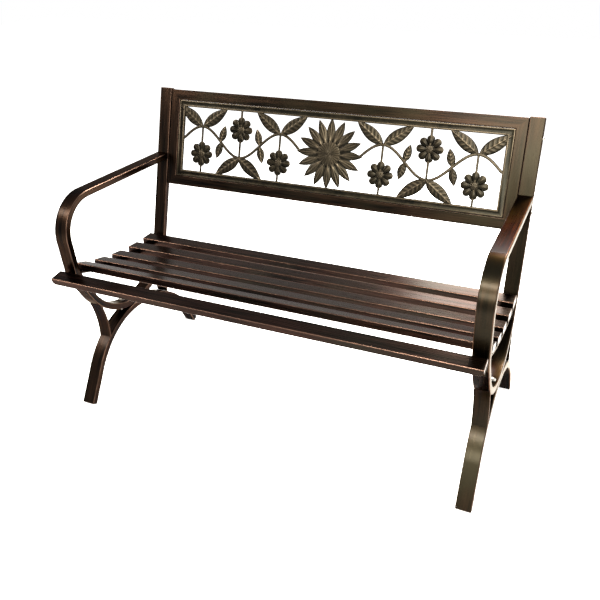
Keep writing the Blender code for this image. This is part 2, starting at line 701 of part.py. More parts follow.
    # Slats, each laid on the straps at its own station
    lift = FIT + SLAT_WIDTH ** 2 / 8 / SEAT_DIP_R + SLAT_THICK / 2
    for number, station in enumerate((SLAT_1_AT, SLAT_2_AT, SLAT_3_AT, SLAT_4_AT, SLAT_5_AT), 1):
        tilt = station / SEAT_DIP_R
        centre = dip_centre + (SEAT_DIP_R - lift) * direction(tilt - math.pi / 2)
        item = block("seat_slat_%d" % number, (SEAT_LENGTH, SLAT_WIDTH, SLAT_THICK), parts, bench, slat_coat)
        item.location = (0.0, centre.x, centre.y)
        item.rotation_euler = (tilt, 0.0, 0.0)
        soften(item, SLAT_CORNER)
    half, deep = SEAT_LENGTH / 2, SLAT_THICK / 2
    outline = [(-half, deep), (-half, FRONT_SLAT_CUT - deep), (FRONT_SLAT_CUT - half, -deep),
               (half - FRONT_SLAT_CUT, -deep), (half, FRONT_SLAT_CUT - deep), (half, deep)]
    item = plate("front_slat", [outline], FRONT_SLAT_WIDTH, parts, bench, slat_coat)
    item.location = (0.0, front_slat_at.x, front_slat_at.y)
    item.rotation_euler = (math.pi / 2 + FRONT_SLAT_TILT, 0.0, 0.0)
    soften(item, SLAT_CORNER)

    # Back frame and panel, drawn on the post's front face
    back = add_object("back_plane", None, parts, bench)
    back.location = (0.0, POST_FACE[0].x, 0.0)
    back.rotation_euler = (UP_POST, 0.0, 0.0)
    wide = SIDE_X - TUBE_WIDTH / 2 - FIT
    top, bottom = BACK_TOP, BACK_TOP - BACK_HEIGHT
    mitre = FIT / math.sqrt(2.0)
    rail_z = -(RAIL_SETBACK + RAIL_THICK / 2)
    for name, edge, inwards in (("back_top_rail", top, -1.0), ("back_bottom_rail", bottom, 1.0)):
        outer, inner = wide - mitre, wide - mitre - RAIL_WIDTH
        outline = [(-outer, edge), (outer, edge), (inner, edge + inwards * RAIL_WIDTH),
                   (-inner, edge + inwards * RAIL_WIDTH)]
        item = plate(name, [outline], RAIL_THICK, parts, back, frame_coat)
        item.location = (0.0, 0.0, rail_z)
        soften(item, SLAT_CORNER)
    bolt_heights = (top - FRAME_BOLT_DROP, bottom + FRAME_BOLT_RISE)
    for side, sign in (("left", -1.0), ("right", 1.0)):
        outline = [(sign * wide, bottom + mitre), (sign * wide, top - mitre),
                   (sign * (wide - RAIL_WIDTH), top - mitre - RAIL_WIDTH),
                   (sign * (wide - RAIL_WIDTH), bottom + mitre + RAIL_WIDTH)]
        stile = plate(side + "_back_stile", [outline], RAIL_THICK, parts, back, frame_coat)
        stile.location = (0.0, 0.0, rail_z)
        soften(stile, SLAT_CORNER)
        for place, height in zip(("upper", "lower"), bolt_heights):
            outside = SIDE_X + TUBE_WIDTH / 2 + FIT
            length = TUBE_WIDTH + 2 * FIT + FRAME_BOLT_GRIP
            item = turned("%s_%s_frame_bolt" % (side, place),
                          bolt_profile(FRAME_HEAD_R, FRAME_HEAD_H, FRAME_BOLT_R, length), 16,
                          parts, back, bolt_steel)
            aim(item, (sign * outside, height, -TUBE_THICK / 2), (sign, 0.0, 0.0))
            depth = length + HOLE_PLAY
            cutter = hole_cutter("%s_%s_frame_hole" % (side, place), FRAME_BOLT_R + HOLE_PLAY, 2 * depth,
                                 (sign * outside, height, -TUBE_THICK / 2), (sign, 0.0, 0.0), cutters, back)
            drill(stile, cutter)
            drill(made[side + "_back_post"], cutter)

    half_long = wide - RAIL_WIDTH - FIT
    half_high = BACK_HEIGHT / 2 - RAIL_WIDTH - FIT
    middle = (top + bottom) / 2
    panel_z = -(RAIL_SETBACK + PANEL_SETBACK + PANEL_THICK / 2)
    in_long, in_high = half_long - PANEL_BORDER, half_high - PANEL_BORDER
    rims = [[(x * a, y * b) for x, y in ((-1, -1), (1, -1), (1, 1), (-1, 1))]
            for a, b in ((half_long, half_high), (in_long, in_high))]
    panel = plate("cast_panel", rims, PANEL_THICK, parts, back, panel_coat)
    panel.location = (0.0, middle, panel_z)
    for number, (outline, thick) in enumerate(panel_motifs(in_long, in_high)):
        item = plate("motif_%02d" % number, [outline], thick, motifs, back)
        item.location = (0.0, middle, panel_z)
        item.hide_render = True
        item.display_type = "WIRE"
    join = panel.modifiers.new("Motifs", "BOOLEAN")
    join.operation = "UNION"
    join.solver = "EXACT"
    join.operand_type = "COLLECTION"
    join.collection = motifs

    # The bench stands with its middle over the origin
    bpy.context.view_layer.update()
    ys = []
    graph = bpy.context.evaluated_depsgraph_get()
    for item in parts.objects:
        if item.type == "MESH":
            seen = item.evaluated_get(graph)
            ys += [(seen.matrix_world @ v.co).y for v in seen.data.vertices]
    bench.location.y = -(min(ys) + max(ys)) / 2


build()
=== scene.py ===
import json
import math

import bmesh
import bpy
from mathutils import Matrix, Vector


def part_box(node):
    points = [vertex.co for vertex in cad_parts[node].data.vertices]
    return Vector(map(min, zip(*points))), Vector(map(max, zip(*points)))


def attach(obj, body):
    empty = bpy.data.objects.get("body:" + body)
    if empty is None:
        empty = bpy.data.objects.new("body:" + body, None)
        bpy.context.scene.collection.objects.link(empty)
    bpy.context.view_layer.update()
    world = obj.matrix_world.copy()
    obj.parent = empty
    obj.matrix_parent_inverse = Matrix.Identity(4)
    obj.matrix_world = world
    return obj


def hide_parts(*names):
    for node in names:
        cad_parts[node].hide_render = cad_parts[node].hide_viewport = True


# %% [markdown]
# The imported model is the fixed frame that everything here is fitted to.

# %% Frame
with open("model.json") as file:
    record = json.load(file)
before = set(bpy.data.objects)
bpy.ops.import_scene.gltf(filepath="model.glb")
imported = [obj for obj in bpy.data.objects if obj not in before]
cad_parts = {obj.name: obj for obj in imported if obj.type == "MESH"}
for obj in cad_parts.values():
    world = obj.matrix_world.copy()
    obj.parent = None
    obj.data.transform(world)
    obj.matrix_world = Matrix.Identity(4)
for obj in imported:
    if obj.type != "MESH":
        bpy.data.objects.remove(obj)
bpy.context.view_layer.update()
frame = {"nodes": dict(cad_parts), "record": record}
nodes = frame["nodes"]
print("solids:", len(nodes))

# %% [markdown]
# A side frame of a bench like this is flat tube, bent on a roll bender. A bent tube is a chain of
# straights and arcs, so a short list of lengths, radii and turns gives the whole shape. It could be
# drawn as a free curve instead, but then the bends would lose the true radius that a bender leaves.

# %% Paths of straights and arcs, as seen from the side


def direction(heading):
    return Vector((math.cos(heading), math.sin(heading)))


def left_of(heading):
    return Vector((-math.sin(heading), math.cos(heading)))


def trace(start, heading, legs, step=math.radians(2.5)):
    """Stations (point, heading) along straights (length,) and arcs (radius, turn)."""
    point = Vector(start)
    stations = [(point.copy(), heading)]
    for leg in legs:
        if len(leg) == 1:
            stations.append((point + leg[0] * direction(heading), heading))
        else:
            radius, bend = leg
            centre = point + math.copysign(radius, bend) * left_of(heading)
            steps = max(2, math.ceil(abs(bend) / step))
            for i in range(1, steps + 1):
                angle = heading + bend * i / steps
                stations.append((centre - math.copysign(radius, bend) * left_of(angle), angle))
            heading += bend
        point = stations[-1][0].copy()
    return stations


def meet(point, heading, line):
    """Where the line through a point along a heading crosses a line (point, heading)."""
    across = left_of(line[1])
    return point + direction(heading) * ((line[0] - point).dot(across) / direction(heading).dot(across))


def arc_shift(radius, start, end):
    return Vector((radius * (math.sin(end) - math.sin(start)), radius * (math.cos(start) - math.cos(end))))


# %% [markdown]
# These are the sizes of the solids, in metres. What touches another piece is worked out from them:
# the arm's straight fall, for one, is whatever is left between the two bends, so the loop always
# lands on top of the leg.

# %% Sizes of the side frame
FIT = 0.0003
TUBE_WIDTH, TUBE_THICK, TUBE_CORNER = 0.042, 0.020, 0.0028
SIDE_X = 1.220 / 2 + 0.002 - TUBE_WIDTH / 2
ARM_HEIGHT, FRONT_BEND_Y, FRONT_BEND_R = 0.679, 0.160, 0.103
ARM_LEAN, KNEE_R = math.radians(7.5), 0.100
SHIN_SLOPE, SHIN_LENGTH = math.radians(58.0), 0.0706
LOWER_BEND_R, LOOP_FLAT, TAIL_R, TAIL_TURN = 0.2223, 0.019, 0.180, math.radians(46.0)
LEG_HEIGHT, ARCH_FRONT_R, ARCH_REAR_R = 0.240, 0.2445, 0.345
LEG_SPLAY, FOOT_FLAT, ARCH_BEHIND_LOOP = math.radians(30.0), 0.0015, 0.0142
POST_RAKE, POST_BEHIND_ARCH, POST_RISE, POST_TAIL = math.radians(14.78), 0.0698, 0.0034, 0.008
BACK_TOP, BACK_HEIGHT, RAIL_WIDTH, RAIL_THICK, RAIL_SETBACK = 0.910, 0.310, 0.032, 0.016, 0.004
UP_POST = math.pi / 2 - POST_RAKE
DOWN, SHIN = math.radians(270.0) + ARM_LEAN, math.radians(360.0) - SHIN_SLOPE

# %% Where the loop, the arch and the post stand
bends = (arc_shift(FRONT_BEND_R, math.pi, DOWN) + arc_shift(KNEE_R, DOWN, SHIN)
         + arc_shift(LOWER_BEND_R, SHIN, 2 * math.pi))
arm_z, low_z = ARM_HEIGHT - TUBE_THICK / 2, LEG_HEIGHT + FIT + TUBE_THICK / 2
arm_drop = (arm_z - low_z + bends.y - SHIN_LENGTH * math.sin(SHIN_SLOPE)) / math.cos(ARM_LEAN)
low_y = FRONT_BEND_Y + bends.x + arm_drop * math.sin(ARM_LEAN) + SHIN_LENGTH * math.cos(SHIN_SLOPE)
loop_low = Vector((low_y, low_z))
arch_y = loop_low.x + ARCH_BEHIND_LOOP
post_face = (Vector((arch_y + POST_BEHIND_ARCH, 0.0)), UP_POST)
arm_end = meet(Vector((0.0, arm_z)), 0.0, post_face)
print("arm falls %.1f mm, loop lowest at %.1f mm" % (arm_drop * 1000, loop_low.x * 1000))

# %% Centrelines
PAST = 0.030
loop_path = trace(arm_end + Vector((PAST, 0.0)), math.pi, [
    (PAST + arm_end.x - FRONT_BEND_Y,), (FRONT_BEND_R, DOWN - math.pi), (arm_drop,), (KNEE_R, SHIN - DOWN),
    (SHIN_LENGTH,), (LOWER_BEND_R, SHIN_SLOPE), (LOOP_FLAT,), (TAIL_R, TAIL_TURN), (PAST + TUBE_THICK / 2,)])
foot_z = TUBE_THICK / 2 * math.sin(LEG_SPLAY) - FOOT_FLAT
bend = math.pi / 2 - LEG_SPLAY
arch_z = LEG_HEIGHT - TUBE_THICK / 2
front_leg, rear_leg = [(arch_z - r * (1.0 - math.cos(bend)) - foot_z) / math.cos(LEG_SPLAY)
                       for r in (ARCH_FRONT_R, ARCH_REAR_R)]
reach = ARCH_FRONT_R * math.sin(bend) + front_leg * math.cos(bend)
arch_path = trace(Vector((arch_y - reach, foot_z)), bend, [
    (front_leg,), (ARCH_FRONT_R, -bend), (ARCH_REAR_R, -bend), (rear_leg,)])
feet = [(p + s * TUBE_THICK / 2 * left_of(h)).x for p, h in arch_path for s in (-1, 1)]
shift_y = (sum(corner.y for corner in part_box("left_leg_arch")) - min(feet) - max(feet)) / 2


def in_space(point, x=0.0):
    return Vector((x, point.x + shift_y, point.y))


def turned_out(heading):
    """A side-view heading as a direction in space."""
    return Vector((0.0, math.cos(heading), math.sin(heading)))


print("side view's zero lies at y = %.4f m" % shift_y)

# %% [markdown]
# The camera stands where the photographer stood: a little above the back's height and well to the
# bench's right, so the seat runs away to the left. Its place and lens were worked out from the
# corners of the slats, posts and feet, because a guessed lens bends every long line a little wrong.

# %% Camera
yaw, pitch, roll = 0.425, -0.443, -0.014
PICTURE, FOCAL, MIDDLE_ROW, SENSOR = 600.0, 715.442, 272.979, 36.0
forward = Vector((-math.sin(yaw) * math.cos(pitch), math.cos(yaw) * math.cos(pitch), math.sin(pitch)))
level = Vector((math.cos(yaw), math.sin(yaw), 0.0))
upward = level.cross(forward)
right = math.cos(roll) * level + math.sin(roll) * upward
upright = -math.sin(roll) * level + math.cos(roll) * upward
camera_data = bpy.data.cameras.new("camera")
camera = bpy.data.objects.new("camera", camera_data)
bpy.context.scene.collection.objects.link(camera)
camera.matrix_world = Matrix.Translation((0.7910, -1.3764 + shift_y, 1.3356)) @ Matrix(
    (right, upright, -forward)).transposed().to_4x4()
camera_data.sensor_width = SENSOR
camera_data.lens = FOCAL / PICTURE * SENSOR
camera_data.shift_y = (MIDDLE_ROW - PICTURE / 2) / PICTURE
camera_data.clip_start = 0.05
bpy.context.scene.camera = camera
bpy.context.scene.view_settings.view_transform = "Standard"
print("lens: %.2f mm" % camera_data.lens)

# %% [markdown]
# The studio ground is plain white. Light Path tells the world and the floor which rays come from the
# camera or from a reflection, and only those see pure white. All other rays see a dim grey, so the
# white ground doesn't flood the dark metal with light. The floor's own glow rises away from the bench,
# so the shadow stays under it and the far floor is as white as the sky.

# %% White ground


def seen_directly(tree):
    """1 for rays from the camera, a mirror-like reflection or glass, and 0 for the rest."""
    path = tree.nodes.new("ShaderNodeLightPath")
    total = path.outputs["Is Camera Ray"]
    for ray in ("Is Glossy Ray", "Is Transmission Ray"):
        most = tree.nodes.new("ShaderNodeMath")
        most.operation = "MAXIMUM"
        tree.links.new(total, most.inputs[0])
        tree.links.new(path.outputs[ray], most.inputs[1])
        total = most.outputs[0]
    return total


world = bpy.data.worlds.new("studio")
bpy.context.scene.world = world
world.use_nodes = True
tree = world.node_tree
white = tree.nodes.new("ShaderNodeBackground")
white.inputs["Color"].default_value = (1.0, 1.0, 1.0, 1.0)
dim = tree.nodes["Background"]
dim.inputs["Color"].default_value = (1.0, 0.98, 0.96, 1.0)
dim.inputs["Strength"].default_value = 0.30
choose = tree.nodes.new("ShaderNodeMixShader")
tree.links.new(seen_directly(tree), choose.inputs[0])
tree.links.new(dim.outputs[0], choose.inputs[1])
tree.links.new(white.outputs[0], choose.inputs[2])
tree.links.new(choose.outputs[0], tree.nodes["World Output"].inputs["Surface"])
print("world:", len(tree.nodes), "nodes")

# %% Floor
shape = bmesh.new()
bmesh.ops.create_grid(shape, x_segments=1, y_segments=1, size=9.0)
bmesh.ops.translate(shape, vec=(0.0, 0.0, -0.0005), verts=shape.verts)
floor_mesh = bpy.data.meshes.new("floor")
shape.to_mesh(floor_mesh)
shape.free()
floor = bpy.data.objects.new("floor", floor_mesh)
bpy.context.scene.collection.objects.link(floor)
pale = bpy.data.materials.new("studio_floor")
pale.use_nodes = True
tree = pale.node_tree
surface = tree.nodes["Principled BSDF"]
surface.inputs["Base Color"].default_value = (0.93, 0.93, 0.93, 1.0)
surface.inputs["Roughness"].default_value = 1.0
surface.inputs["Specular IOR Level"].default_value = 0.0
surface.inputs["Emission Color"].default_value = (1.0, 1.0, 1.0, 1.0)
spot = tree.nodes.new("ShaderNodeTexCoord").outputs["Object"]
away = tree.nodes.new("ShaderNodeVectorMath")
away.operation = "LENGTH"
tree.links.new(spot, away.inputs[0])
rise = tree.nodes.new("ShaderNodeMapRange")
rise.interpolation_type = "SMOOTHSTEP"
for name, value in (("From Min", 0.5), ("From Max", 1.9), ("To Min", 0.70), ("To Max", 1.0)):
    rise.inputs[name].default_value = value
tree.links.new(away.outputs["Value"], rise.inputs["Value"])
glow = tree.nodes.new("ShaderNodeMath")
glow.operation = "MULTIPLY"
tree.links.new(rise.outputs["Result"], glow.inputs[1])
tree.links.new(seen_directly(tree), glow.inputs[0])
tree.links.new(glow.outputs[0], surface.inputs["Emission Strength"])
floor_mesh.materials.append(pale)
print("floor: 18 m square")

# %% [markdown]
# Metal shows what stands round it, so a studio lights it with large soft boxes and not with spots.
# Each box stands where the camera sees it mirrored: two behind the bench, for the slats' pale right
# ends and the right armrest, one in front for the right post and the back frame, and two narrow ones
# for the streaks on the arms' bends and the legs.

# %% Lamps


def softbox(name, place, target, size, power, colour):
    light = bpy.data.lights.new(name, "AREA")
    light.shape = "RECTANGLE"
    light.size, light.size_y = size
    light.energy = power
    light.color = colour
    lamp = bpy.data.objects.new(name, light)
    bpy.context.scene.collection.objects.link(lamp)
    lamp.location = place
    lamp.rotation_euler = (Vector(target) - Vector(place)).to_track_quat("-Z", "Y").to_euler()


softbox("strip_left", (-1.80, -1.30, 1.85), (-0.5, -0.2, 0.40), (1.0, 0.35), 44.0, (1.0, 0.92, 0.82))
softbox("strip_front", (0.30, -1.65, 2.15), (0.50, -0.25, 0.35), (0.9, 0.35), 72.0, (1.0, 0.93, 0.84))
softbox("over_back", (0.78, 1.60, 2.00), (0.60, 0.0, 0.65), (0.55, 0.8), 330.0, (1.0, 0.98, 0.92))
softbox("low_behind", (0.25, 2.40, 1.70), (0.45, 0.0, 0.45), (1.0, 0.7), 70.0, (1.0, 0.99, 0.98))
softbox("front_soft", (0.25, -3.40, 2.00), (0.45, 0.2, 0.8), (1.3, 0.8), 118.0, (1.0, 0.94, 0.79))
print("lamps:", len(bpy.data.lights))

# %% [markdown]
# The coat is an antique bronze: a near black powder coat, brushed over along each bar with brown and
# olive, and rubbed through to copper on the edges. That pale edge colour is also a painted highlight,
# the light line that a rounded edge catches. A photograph of metal could be wrapped round the bars, but
# noise stretched along a bar's own map follows every bend and never repeats.

# %% Small steps for building a finish


def noise(tree, vector, scale, detail, stretch=(1.0, 1.0, 1.0)):
    placed = tree.nodes.new("ShaderNodeMapping")
    placed.inputs["Scale"].default_value = stretch
    tree.links.new(vector, placed.inputs["Vector"])
    grain = tree.nodes.new("ShaderNodeTexNoise")
    grain.inputs["Scale"].default_value = scale
    grain.inputs["Detail"].default_value = detail
    tree.links.new(placed.outputs[0], grain.inputs["Vector"])
    return grain.outputs["Fac"]


def maths(tree, operation, a, b, clamp=False):
    step = tree.nodes.new("ShaderNodeMath")
    step.operation = operation
    step.use_clamp = clamp
    for socket, value in zip(step.inputs, (a, b)):
        if isinstance(value, (int, float)):
            socket.default_value = value
        else:
            tree.links.new(value, socket)
    return step.outputs[0]


def mixed(tree, factor, a, b):
    mix = tree.nodes.new("ShaderNodeMix")
    mix.data_type = "RGBA"
    tree.links.new(factor, mix.inputs["Factor"])
    for name, value in (("A", a), ("B", b)):
        if isinstance(value, tuple):
            mix.inputs[name].default_value = (*value, 1.0)
        else:
            tree.links.new(value, mix.inputs[name])
    return mix.outputs["Result"]


def ramp(tree, factor, stops):
    scale = tree.nodes.new("ShaderNodeValToRGB")
    while len(scale.color_ramp.elements) < len(stops):
        scale.color_ramp.elements.new(0.5)
    for element, (position, colour) in zip(scale.color_ramp.elements, stops):
        element.position = position
        element.color = (*colour, 1.0)
    tree.links.new(factor, scale.inputs["Fac"])
    return scale.outputs["Color"]


# %% [markdown]
# One recipe makes every coat. Streaks come from two noises, fine and broad, and patches of olive from a
# third. The olive grows towards the bench's right, a painted light that makes that side paler. The
# "edge" attribute says where the coat is painted pale: partly copper where a cloth would have rubbed
# the coat thin, partly a painted highlight where a rounded edge catches light. A casting has no
# brushing, so its noise lies evenly in space.

# %% The coat's recipe


def coat(name, deep, brown, olive, rubbed_and_highlight, wear_and_highlight, roughness, streak, flow="along",
         sheen=(0.42, 0.37, 0.31)):
    """streak stretches the noise along and across; flow is a map's name, or None for plain space.

    sheen tints what the metal mirrors at low angles.
    """
    made = bpy.data.materials.new(name)
    made.use_nodes = True
    tree = made.node_tree
    shader = tree.nodes["Principled BSDF"]
    shader.inputs["Metallic"].default_value = 1.0
    shader.inputs["Specular Tint"].default_value = (*sheen, 1.0)
    shader.inputs["Coat Weight"].default_value = 0.06
    shader.inputs["Coat Roughness"].default_value = 0.20
    place = tree.nodes.new("ShaderNodeTexCoord").outputs["Object"]
    source = place
    if flow:
        chart = tree.nodes.new("ShaderNodeUVMap")
        chart.uv_map = flow
        source = chart.outputs[0]
    fine = noise(tree, source, 1.0, 4.0, streak)
    broad = noise(tree, source, 1.0, 3.0, tuple(s / d for s, d in zip(streak, (3.0, 7.0, 3.0))))
    tone = maths(tree, "ADD", maths(tree, "MULTIPLY", fine, 0.45), maths(tree, "MULTIPLY", broad, 0.55))
    between = tuple((d + b) / 2 for d, b in zip(deep, brown))
    body = ramp(tree, tone, [(0.40, deep), (0.50, between), (0.62, brown)])
    sides = tree.nodes.new("ShaderNodeSeparateXYZ")
    tree.links.new(place, sides.inputs[0])
    patches_and_side_light = maths(tree, "SUBTRACT", noise(tree, place, 5.0, 2.0), 0.44)
    # The olive share grows towards the bench's right, a painted light that makes that side paler; the noise
    # patches are the coat's own.
    patches_and_side_light = maths(tree, "ADD", patches_and_side_light, maths(tree, "MULTIPLY", sides.outputs["X"], 0.25))
    body = mixed(tree, maths(tree, "MULTIPLY", patches_and_side_light, 3.0, True), body, olive)
    # Edges are painted pale: rubbed copper and painted highlight together.
    edge = tree.nodes.new("ShaderNodeAttribute")
    edge.attribute_name = "edge"
    chips_and_glints = maths(tree, "ADD", maths(tree, "MULTIPLY", noise(tree, place, 38.0, 4.0), 1.1), wear_and_highlight - 0.55)
    worn_and_highlit = maths(tree, "MULTIPLY", maths(tree, "POWER", edge.outputs["Fac"], 1.6), chips_and_glints, True)
    tree.links.new(mixed(tree, worn_and_highlit, body, rubbed_and_highlight), shader.inputs["Base Color"])
    tree.links.new(maths(tree, "ADD", maths(tree, "MULTIPLY", fine, 0.22), roughness - 0.11),
                   shader.inputs["Roughness"])
    bump = tree.nodes.new("ShaderNodeBump")
    bump.inputs["Strength"].default_value = 0.14
    bump.inputs["Distance"].default_value = 0.0004
    tree.links.new(maths(tree, "ADD", noise(tree, place, 900.0, 2.0), fine), bump.inputs["Height"])
    tree.links.new(bump.outputs[0], shader.inputs["Normal"])
    return made


# %% The coats
ALONG_BAR, EVENLY = (9.0, 420.0, 1.0), (60.0, 60.0, 60.0)
# The edges' pale copper is part rubbed metal, part painted highlight.
COPPER_AND_HIGHLIGHT = (0.12, 0.070, 0.050)
# Each coat's fourth colour paints the marked edges pale: rubbed metal and painted highlight.
coats = {
    "frame_coat": coat("antique_bronze", (0.0012, 0.0010, 0.0008), (0.018, 0.0095, 0.0055),
                       (0.0105, 0.0088, 0.0050), COPPER_AND_HIGHLIGHT, 0.42, 0.31, ALONG_BAR),
    "slat_coat": coat("slat_bronze", (0.0015, 0.0012, 0.001), (0.024, 0.011, 0.008), (0.011, 0.009, 0.0065),
                      COPPER_AND_HIGHLIGHT, 0.75, 0.28, ALONG_BAR, sheen=(0.62, 0.59, 0.57)),
    "panel_coat": coat("cast_bronze", (0.002, 0.0019, 0.0013), (0.011, 0.0088, 0.0055),
                       (0.0085, 0.0078, 0.0052), (0.095, 0.075, 0.050), 0.55, 0.36, EVENLY, None),
    "bolt_steel": coat("zinc_steel", (0.30, 0.29, 0.27), (0.50, 0.48, 0.45), (0.40, 0.385, 0.36),
                       (0.62, 0.58, 0.54), 0.5, 0.28, EVENLY, None),
}
strap_coat = coat("strap_bronze", (0.0015, 0.0012, 0.001), (0.016, 0.009, 0.006), (0.009, 0.0075, 0.005),
                  COPPER_AND_HIGHLIGHT, 0.55, 0.36, (420.0, 9.0, 9.0), None)
for entry in frame["record"]["subparts"]:
    piece = nodes[entry["node"]]
    under = entry["node"].endswith(("seat_strap", "slat_bracket"))
    piece.data.materials.clear()
    piece.data.materials.append(strap_coat if under else coats[entry["material_slot"]])
print("coats:", len(bpy.data.materials) - 1)

# %% [markdown]
# Every new piece is finished the same way: its faces are turned outwards, each point is marked with
# how sharply the surface bends there, and the shading is weighted so that flat faces look flat
# beside their rounded edges. The mark paints sharp edges pale from every side, as wear and as a
# painted highlight together.

# %% Finishing a piece


def new_shape():
    shape = bmesh.new()
    for layer in ("run", "round", "edge"):
        shape.verts.layers.float.new(layer)
    shape.loops.layers.uv.new("along")
    return shape


# Sharp bends get the pale edge colour: rubbed coat and painted highlight.
def mark_edges(shape, flat=23.0, sharp=29.0):
    edge = shape.verts.layers.float["edge"]
    for vert in shape.verts:
        bend = max(math.degrees(e.calc_face_angle_signed(0.0)) for e in vert.link_edges)
        vert[edge] = min(max((bend - flat) / (sharp - flat), 0.0), 1.0)


def finish(name, shape, slot, stands_for, mark=True, smooth=38.0):
    bmesh.ops.recalc_face_normals(shape, faces=shape.faces)
    if mark:
        mark_edges(shape)
    for face in shape.faces:
        face.smooth = True
    mesh = bpy.data.meshes.new(name)
    shape.to_mesh(mesh)
    shape.free()
    mesh.set_sharp_from_angle(angle=math.radians(smooth))
    mesh.materials.append(coats[slot])
    piece = bpy.data.objects.new(name, mesh)
    bpy.context.scene.collection.objects.link(piece)
    weighted = piece.modifiers.new("Flat faces stay flat", "WEIGHTED_NORMAL")
    weighted.keep_sharp = True
    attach(piece, "root")
    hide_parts(*stands_for)


# %% [markdown]
# A bar starts as one square face, scaled to the tube's section, with its corners bevelled round. Its
# rim is extruded again and again and moved from station to station, as a die draws tube. A curve with
# a bevel profile would give the same bar, but here each new ring also notes how far along the bar it
# is, which is what the brushed streaks need.

# %% Drawing a bar


def station(place, tangent, side):
    """A matrix with X across the bar and Z along it."""
    return Matrix.Translation(place) @ Matrix((side, tangent.cross(side), tangent)).transposed().to_4x4()


def open_section(shape, wide, high, corner):
    """A rounded face at the origin; returns its vertices and edges."""
    made = bmesh.ops.create_grid(shape, x_segments=1, y_segments=1, size=0.5)["verts"]
    bmesh.ops.scale(shape, vec=(wide, high, 1.0), verts=made)
    known = set(shape.verts) - set(made)
    bmesh.ops.bevel(shape, geom=made, offset=corner, segments=3, profile=0.5, affect="VERTICES",
                    material=-1)
    corners = [v for v in shape.verts if v not in known]
    face = corners[0].link_faces[0]
    about, total = shape.verts.layers.float["round"], 0.0
    for loop in face.loops:
        loop.vert[about] = total
        total += loop.edge.calc_length()
    return corners, list(face.edges)


def draw_bar(shape, stations, wide, high, corner):
    corners, rim = open_section(shape, wide, high, corner)
    bmesh.ops.transform(shape, matrix=stations[0], verts=corners)
    run, travelled = shape.verts.layers.float["run"], 0.0
    for before, after in zip(stations, stations[1:]):
        grown = bmesh.ops.extrude_edge_only(shape, edges=rim)["geom"]
        fresh = [g for g in grown if isinstance(g, bmesh.types.BMVert)]
        rim = [g for g in grown if isinstance(g, bmesh.types.BMEdge) and g.is_boundary]
        bmesh.ops.transform(shape, matrix=after @ before.inverted(), verts=fresh)
        travelled += (after.translation - before.translation).length
        for vert in fresh:
            vert[run] = travelled
    bmesh.ops.edgeloop_fill(shape, edges=rim)


# %% [markdown]
# Ends that meet another piece are sawn by a plane, and the hole is filled. Every end's edge is then
# eased a little, because a raw saw cut is always filed before the coat goes on.

# %% Sawing and easing the ends


def saw(shape, place, outwards):
    """Cuts off what lies outside a plane and closes the cut."""
    cut = bmesh.ops.bisect_plane(shape, geom=shape.verts[:] + shape.edges[:] + shape.faces[:], dist=1e-6,
                                 plane_co=place, plane_no=outwards, clear_outer=True)["geom_cut"]
    bmesh.ops.edgeloop_fill(shape, edges=[g for g in cut if isinstance(g, bmesh.types.BMEdge)])


def ease_ends(shape, width):
    rims = {edge for face in shape.faces if len(face.verts) > 6 for edge in face.edges}
    bmesh.ops.bevel(shape, geom=list(rims), offset=width, segments=2, profile=0.5, affect="EDGES",
                    material=-1)


def chart_bar(shape, perimeter):
    """Lays out the map: metres along the bar, and metres round it."""
    along = shape.loops.layers.uv["along"]
    run, about = shape.verts.layers.float["run"], shape.verts.layers.float["round"]
    for face in shape.faces:
        if len(face.verts) > 6:
            for loop in face.loops:
                loop[along].uv = (loop.vert.co.x, loop.vert.co.z)
            continue
        rounds = [loop.vert[about] for loop in face.loops]
        for loop, v in zip(face.loops, rounds):
            wrapped = v + perimeter if max(rounds) - v > perimeter / 2 else v
            loop[along].uv = (loop.vert[run], wrapped)


def bar(name, stations, wide, high, corner, slot, stands_for, cuts=(), ease=0.0010, ground=()):
    """cuts are sawn before the ends are eased, and ground faces are cut after."""
    shape = new_shape()
    draw_bar(shape, stations, wide, high, corner)
    for place, outwards in cuts:
        saw(shape, place, outwards)
    ease_ends(shape, ease)
    for place, outwards in ground:
        saw(shape, place, outwards)
    chart_bar(shape, 2 * (wide + high) - (8 - 2 * math.pi) * corner)
    finish(name, shape, slot, stands_for)


# %% [markdown]
# Arm loops. Each is one length of flat tube that makes the armrest, drops at the front, carries the
# seat and comes back to the post. It is drawn a little too long and sawn at both ends by one plane,
# the post's front face.

# %% Arm loops
ACROSS = Vector((1.0, 0.0, 0.0))


def beside(path, x):
    return [station(in_space(p, x), turned_out(h), ACROSS) for p, h in path]


behind_post = (in_space(post_face[0] + FIT * left_of(UP_POST)), -turned_out(UP_POST + math.pi / 2))
for side, sign in (("left", -1.0), ("right", 1.0)):
    bar(side + "_arm_tube", beside(loop_path, sign * SIDE_X), TUBE_WIDTH, TUBE_THICK, TUBE_CORNER,
        "frame_coat", (side + "_arm_loop",), [behind_post])
length = sum((b[0] - a[0]).length for a, b in zip(loop_path, loop_path[1:]))
print("arm tube: %.2f m before sawing" % length)

# %% [markdown]
# Leg arches and back posts. The arch has a tighter bend in front than behind, and its feet are ground
# flat where they touch the floor. The post is straight, and leans back with the panel.

